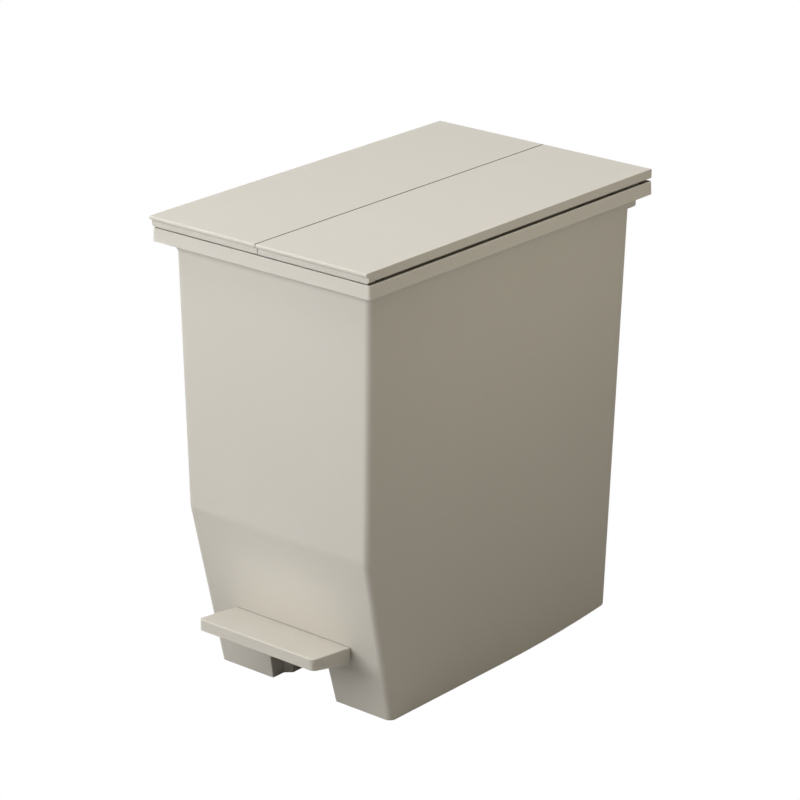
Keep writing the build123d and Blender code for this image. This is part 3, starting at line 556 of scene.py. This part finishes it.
@dataclass(frozen=True)
class SplitLid(SubAssembly):
    """Rim, the two leaves with their hinge rods, and the soft stops.

    Attributes:
        nodes: names of the nodes.
        leaves: the nodes that meet at the seam.
        seam_shadow_line: painted shadow line along the seam.
    """

    nodes: tuple[str, ...] = (
        "lid_frame",
        "left_leaf",
        "right_leaf",
        "left_hinge_rod",
        "right_hinge_rod",
        "lid_bumper_1",
        "lid_bumper_2",
        "lid_bumper_3",
        "lid_bumper_4",
    )
    leaves: tuple[str, ...] = ("left_leaf", "right_leaf")
    seam_shadow_line: PaintedSeamShadow = PaintedSeamShadow()

    def own_materials(self) -> Mapping[str, bpy.types.Material]:
        """Make the leaves' material.

        Returns:
            For both leaves, the shell's plastic with a painted shadow line along the seam.
        """
        shell = FINISHES[Finish.SHELL_PP]
        leaf = replace(shell, name=f"{shell.name}, lid leaf", seam_shadow_line=self.seam_shadow_line)
        return dict.fromkeys(self.leaves, leaf.build())


@dataclass(frozen=True)
class PedalDrive(SubAssembly):
    """Pedal and lever, and the rod and fork that lift the leaves."""

    nodes: tuple[str, ...] = (
        "pedal_plate",
        "pedal_lever",
        "axle",
        "left_keeper",
        "right_keeper",
        "keeper_screw_1",
        "keeper_screw_2",
        "keeper_screw_3",
        "keeper_screw_4",
        "push_rod",
        "rod_bush",
        "lift_fork",
    )


@dataclass(frozen=True)
class RearRollers(SubAssembly):
    """Rollers under the rear, and their pins."""

    nodes: tuple[str, ...] = (
        "left_roller",
        "right_roller",
        "left_roller_pin",
        "right_roller_pin",
    )


def aim(place: Vec3, target: Vec3) -> Vec3:
    """Angles that turn an object's -Z axis towards a point, with its +Y axis kept up.

    Args:
        place: position of the object.
        target: point it faces.

    Returns:
        Euler angles in radians.
    """
    dx, dy, dz = (t - p for t, p in zip(target, place))
    level = math.hypot(dx, dy)
    return math.atan2(level, -dz), 0.0, math.atan2(-dx, dy)


@dataclass(frozen=True)
class SoftBox:
    """Rectangular area light that faces a point and that the camera doesn't see.

    Attributes:
        name: name of the light.
        place: position in metres.
        target: point it faces, in metres.
        size: width and height in metres.
        power: watts.
        colour: linear red, green and blue.
    """

    name: str
    place: Vec3
    target: Vec3
    size: tuple[float, float]
    power: float
    colour: Vec3

    def build(self) -> None:
        """Add the light to the scene."""
        data = bpy.data.lights.new(self.name, "AREA")
        data.shape = "RECTANGLE"
        data.size, data.size_y = self.size
        data.energy = self.power
        data.color = self.colour
        lamp = bpy.data.objects.new(self.name, data)
        lamp.location = self.place
        lamp.rotation_euler = aim(self.place, self.target)
        lamp.visible_camera = False
        bpy.context.scene.collection.objects.link(lamp)


SOFT_BOXES = (
    # The two keys light the front, from the left and from farther off and above.
    SoftBox(
        name="key_near",
        place=(-0.8, -1.6, 0.9),
        target=(0.0, -0.1, 0.3),
        size=(1.4, 0.8),
        power=17.18,
        colour=(1.0, 1.0, 1.0),
    ),
    SoftBox(
        name="key_mid",
        place=(-1.2, -2.2, 1.6),
        target=(0.0, -0.1, 0.2),
        size=(1.6, 1.2),
        power=4.564,
        colour=(0.900, 0.946, 1.0),
    ),
    # The lid gets its even light from overhead.
    SoftBox(
        name="top",
        place=(-0.3, -0.4, 3.0),
        target=(0.0, 0.0, 0.3),
        size=(2.6, 2.6),
        power=48.3,
        colour=(0.965, 0.980, 1.0),
    ),
    # The long side is kept darker than the front, and warm.
    SoftBox(
        name="side_high",
        place=(1.6, 0.5, 2.4),
        target=(0.0, 0.0, 0.4),
        size=(1.0, 1.0),
        power=3.276,
        colour=(1.0, 0.918, 0.795),
    ),
    # The two strips lift the upper edges, this one the side's and the last one the front's.
    SoftBox(
        name="side_strip",
        place=(0.5, 0.05, 0.49),
        target=(0.0, 0.05, 0.46),
        size=(0.5, 0.1),
        power=0.41,
        colour=(1.0, 0.969, 0.826),
    ),
    # This one stands for the light that the pedal plate throws back on the wall above it.
    SoftBox(
        name="pedal_bounce",
        place=(0.0, -0.2, 0.085),
        target=(0.0, -0.15, 0.16),
        size=(0.12, 0.02),
        power=0.007,
        colour=(1.0, 0.960, 0.920),
    ),
    SoftBox(
        name="front_strip",
        place=(0.0, -0.65, 0.47),
        target=(0.0, 0.0, 0.47),
        size=(0.3, 0.1),
        power=0.4204,
        colour=(0.901, 0.959, 1.0),
    ),
)


@dataclass(frozen=True)
class PhotoCamera:
    """Camera of the photograph, solved from its edges.

    Attributes:
        place: position in metres.
        yaw_deg: turn about Z from looking along +Y.
        pitch_deg: how far it looks down.
        lens_mm: focal length on the sensor below.
        sensor_mm: sensor width, for a square picture.
        shift: half a pixel right and down, as shares of the picture's width.
        reach: how far it sees, in metres.
    """

    place: Vec3 = (1.7582, -2.0815, 1.2538)
    yaw_deg: float = 40.238
    pitch_deg: float = 20.586
    lens_mm: float = 149.60
    sensor_mm: float = 36.0
    shift: tuple[float, float] = (-0.000625, 0.000625)
    reach: float = 50.0

    def build(self) -> None:
        """Add the camera and make it the scene's camera."""
        data = bpy.data.cameras.new("photo_camera")
        data.lens = self.lens_mm
        data.sensor_width = self.sensor_mm
        data.sensor_fit = "AUTO"
        data.shift_x, data.shift_y = self.shift
        data.clip_end = self.reach
        camera = bpy.data.objects.new("photo_camera", data)
        camera.location = self.place
        tilt = math.radians(90.0 - self.pitch_deg)
        camera.rotation_euler = (tilt, 0.0, math.radians(self.yaw_deg))
        bpy.context.scene.collection.objects.link(camera)
        bpy.context.scene.camera = camera


@dataclass(frozen=True)
class Studio:
    """White studio: world, floor, soft boxes and camera.

    Attributes:
        ambient: linear colour of the light from the surroundings.
        paper: colour of the floor's paper as sRGB hex.
        floor_half: half the side of the square floor, in metres.
        lights: the soft boxes.
        camera: the photograph's camera.
    """

    ambient: Vec3 = (0.239, 0.212, 0.170)
    paper: str = "#a5a5a5"
    floor_half: float = 12.0
    lights: tuple[SoftBox, ...] = SOFT_BOXES
    camera: PhotoCamera = PhotoCamera()

    def build(self) -> None:
        """Set up everything that isn't the bin, and report it."""
        self._world()
        self._floor()
        for light in self.lights:
            light.build()
            log.info("Studio: %s", light.name)
        self.camera.build()
        bpy.context.scene.view_settings.view_transform = "Standard"
        log.info("Studio: world, floor and camera")

    def _world(self) -> None:
        """Light the scene evenly, and show white to the camera and to what mirrors or is clear."""
        world = bpy.data.worlds.new("white studio")
        bpy.context.scene.world = world
        world.use_nodes = True
        tree = world.node_tree
        tree.nodes.clear()
        path = add(tree, "ShaderNodeLightPath", "kind of ray")
        seen = path.outputs["Is Camera Ray"]
        for label, ray in (
            ("seen or mirrored", "Is Glossy Ray"),
            ("also through clear pieces", "Is Transmission Ray"),
        ):
            either = {0: seen, 1: path.outputs[ray]}
            seen = add(tree, "ShaderNodeMath", label, either, {"operation": "MAXIMUM"}).outputs[0]
        tones = {SHARE: seen, FIRST: (*self.ambient, 1.0), SECOND: WHITE}
        colour = add(tree, "ShaderNodeMix", "light by ray", tones, COLOURS).outputs[BLENDED]
        glow = {"Color": colour, "Strength": 1.0}
        light = add(tree, "ShaderNodeBackground", "white surroundings", glow)
        add(tree, "ShaderNodeOutputWorld", "surroundings", {"Surface": light.outputs[0]})

    def _floor(self) -> None:
        """Lay a large floor of grey paper under the bin, which the camera sees as plain white."""
        half = self.floor_half
        mesh = bpy.data.meshes.new("studio_floor")
        corners = [(-half, -half, 0.0), (half, -half, 0.0), (half, half, 0.0), (-half, half, 0.0)]
        mesh.from_pydata(corners, [], [(0, 1, 2, 3)])
        floor = bpy.data.objects.new("studio_floor", mesh)
        bpy.context.scene.collection.objects.link(floor)
        material = bpy.data.materials.new("seamless studio paper, white")
        material.use_nodes = True
        tree = material.node_tree
        tree.nodes.clear()
        path = add(tree, "ShaderNodeLightPath", "kind of ray")
        paper = add(tree, "ShaderNodeBsdfDiffuse", "paper", {"Color": linear(self.paper)})
        glow = {"Color": WHITE, "Strength": 1.0}
        lift = add(tree, "ShaderNodeEmission", "over-lit paper", glow)
        seen = {0: path.outputs["Is Camera Ray"], 1: paper.outputs[0], 2: lift.outputs[0]}
        mix = add(tree, "ShaderNodeMixShader", "paper as it is seen", seen)
        add(tree, "ShaderNodeOutputMaterial", "surface", {"Surface": mix.outputs[0]})
        mesh.materials.append(material)


def main() -> None:
    """Dress the bin, one sub-assembly after the other, and set up its studio."""
    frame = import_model()
    materials = {finish: FINISHES[finish].build() for finish in Finish}
    for group in (Container(), SplitLid(), PedalDrive(), RearRollers()):
        group.dress(frame, materials)
    Studio().build()


if __name__ == "__main__":
    main()
